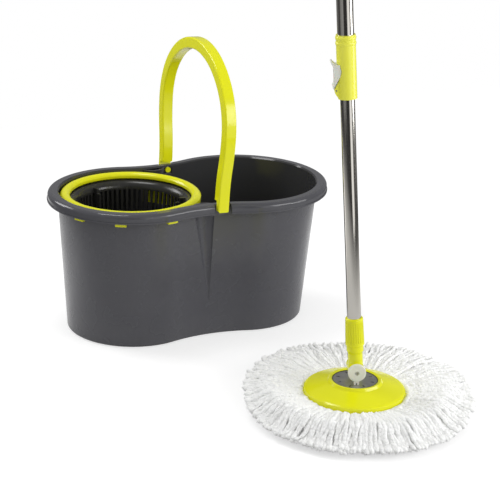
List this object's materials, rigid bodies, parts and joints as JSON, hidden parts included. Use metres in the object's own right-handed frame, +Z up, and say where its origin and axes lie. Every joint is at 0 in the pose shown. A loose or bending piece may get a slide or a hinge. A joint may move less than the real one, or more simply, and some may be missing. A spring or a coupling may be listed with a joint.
{
  "type": "spin mop",
  "caption": "Spin mop set: two-lobed bucket with bail and spinning wringer basket, and a push-to-spin mop with a swivel disc head and yarn ring.",
  "frame": {"origin": "on the floor at the flat bucket base, under the swing line of the bail", "axes": "+X along the bucket from the wringer lobe to the water lobe, +Z up; the mop stands on the -Y side"},
  "size_m": [0.5271, 0.8189, 1.2678],
  "materials": {
    "grey_plastic": "satin moulded",
    "basket_plastic": "satin moulded",
    "lime_plastic": "gloss moulded",
    "white_plastic": "satin moulded",
    "bearing_plastic": "matt moulded",
    "polished_tube": "polished",
    "plain_steel": "plain",
    "black_rubber": "matt",
    "grip_rubber": "matt ribbed",
    "yarn": "looped pile"
  },
  "bodies": {
    "bucket": {"bucket_shell": "grey_plastic", "splash_collar": "lime_plastic", "spindle": "plain_steel", "thrust_washer": "bearing_plastic", "spindle_clip": "plain_steel"},
    "bail": {"bail_handle": "lime_plastic"},
    "wringer": {"wringer_basket": "basket_plastic", "basket_bush": "bearing_plastic", "hub_cap": "basket_plastic"},
    "mop_head": {"mop_disc": "lime_plastic", "base_screws": "plain_steel", "plate_seal": "black_rubber", "steel_plate": "plain_steel", "yoke": "white_plastic", "pivot_axle": "white_plastic", "pivot_screw": "plain_steel", "refill_ring": "lime_plastic", "yarn_pad": "yarn"},
    "lower_pole": {"swivel_neck": "lime_plastic", "screw_collar": "lime_plastic", "tube_plug": "bearing_plastic", "lower_tube": "polished_tube", "nut_housing": "bearing_plastic", "housing_cap": "bearing_plastic", "drive_nut": "bearing_plastic", "clutch_rollers": "plain_steel"},
    "slide_guide": {"guide_bush": "bearing_plastic"},
    "upper_pole": {"upper_tube": "polished_tube", "clamp_sleeve": "lime_plastic", "lever_pin": "plain_steel", "twist_strip": "plain_steel", "strip_stop": "bearing_plastic", "strip_anchor": "bearing_plastic", "anchor_rivet": "plain_steel", "hand_grip": "grip_rubber", "end_cap": "lime_plastic"},
    "brake": {"clamp_shoe": "bearing_plastic"},
    "lever": {"clamp_lever": "white_plastic"}
  },
  "joints": [
    {"name": "bail_swing", "type": "hinge", "parent": "bucket", "child": "bail", "pos_m": [0, 0, 0.241], "axis": [0, 1, 0], "range_deg": [-27, 23]},
    {"name": "basket_spin", "type": "hinge", "parent": "bucket", "child": "wringer", "pos_m": [-0.1163, 0, 0.138], "axis": [0, 0, 1], "continuous": true},
    {"name": "mop_lift", "type": "slide", "parent": "bucket", "child": "mop_head", "axis": [0, 0, 1], "range_m": [0, 0.35]},
    {"name": "pole_tilt", "type": "hinge", "parent": "mop_head", "child": "lower_pole", "pos_m": [0.0787, -0.477, 0.0765], "axis": [0.3746, 0.9272, 0], "range_deg": [-55.45, 64.55]},
    {"name": "handle_pump", "type": "slide", "parent": "lower_pole", "child": "slide_guide", "axis": [-0.0736, 0.0297, 0.9968], "range_m": [-0.3, 0]},
    {"name": "handle_twist", "type": "hinge", "parent": "slide_guide", "child": "upper_pole", "pos_m": [0.04652, -0.464, 0.51262], "axis": [-0.0736, 0.0297, 0.9968], "range_deg": [-1081, 1]},
    {"name": "lever_flip", "type": "hinge", "parent": "upper_pole", "child": "lever", "pos_m": [0.03041, -0.45687, 0.52476], "axis": [-0.4066, -0.9136, -0.0028], "range_deg": [0, 110]},
    {"name": "brake_release", "type": "slide", "parent": "upper_pole", "child": "brake", "axis": [-0.9106, 0.4056, -0.0793], "range_m": [0, 0.0006]}
  ],
  "couplings": [
    {"joint": "handle_twist", "follows": "handle_pump", "rad_per_m": 62.832},
    {"joint": "brake_release", "follows": "lever_flip", "m_per_rad": 0.00031249}
  ]
}
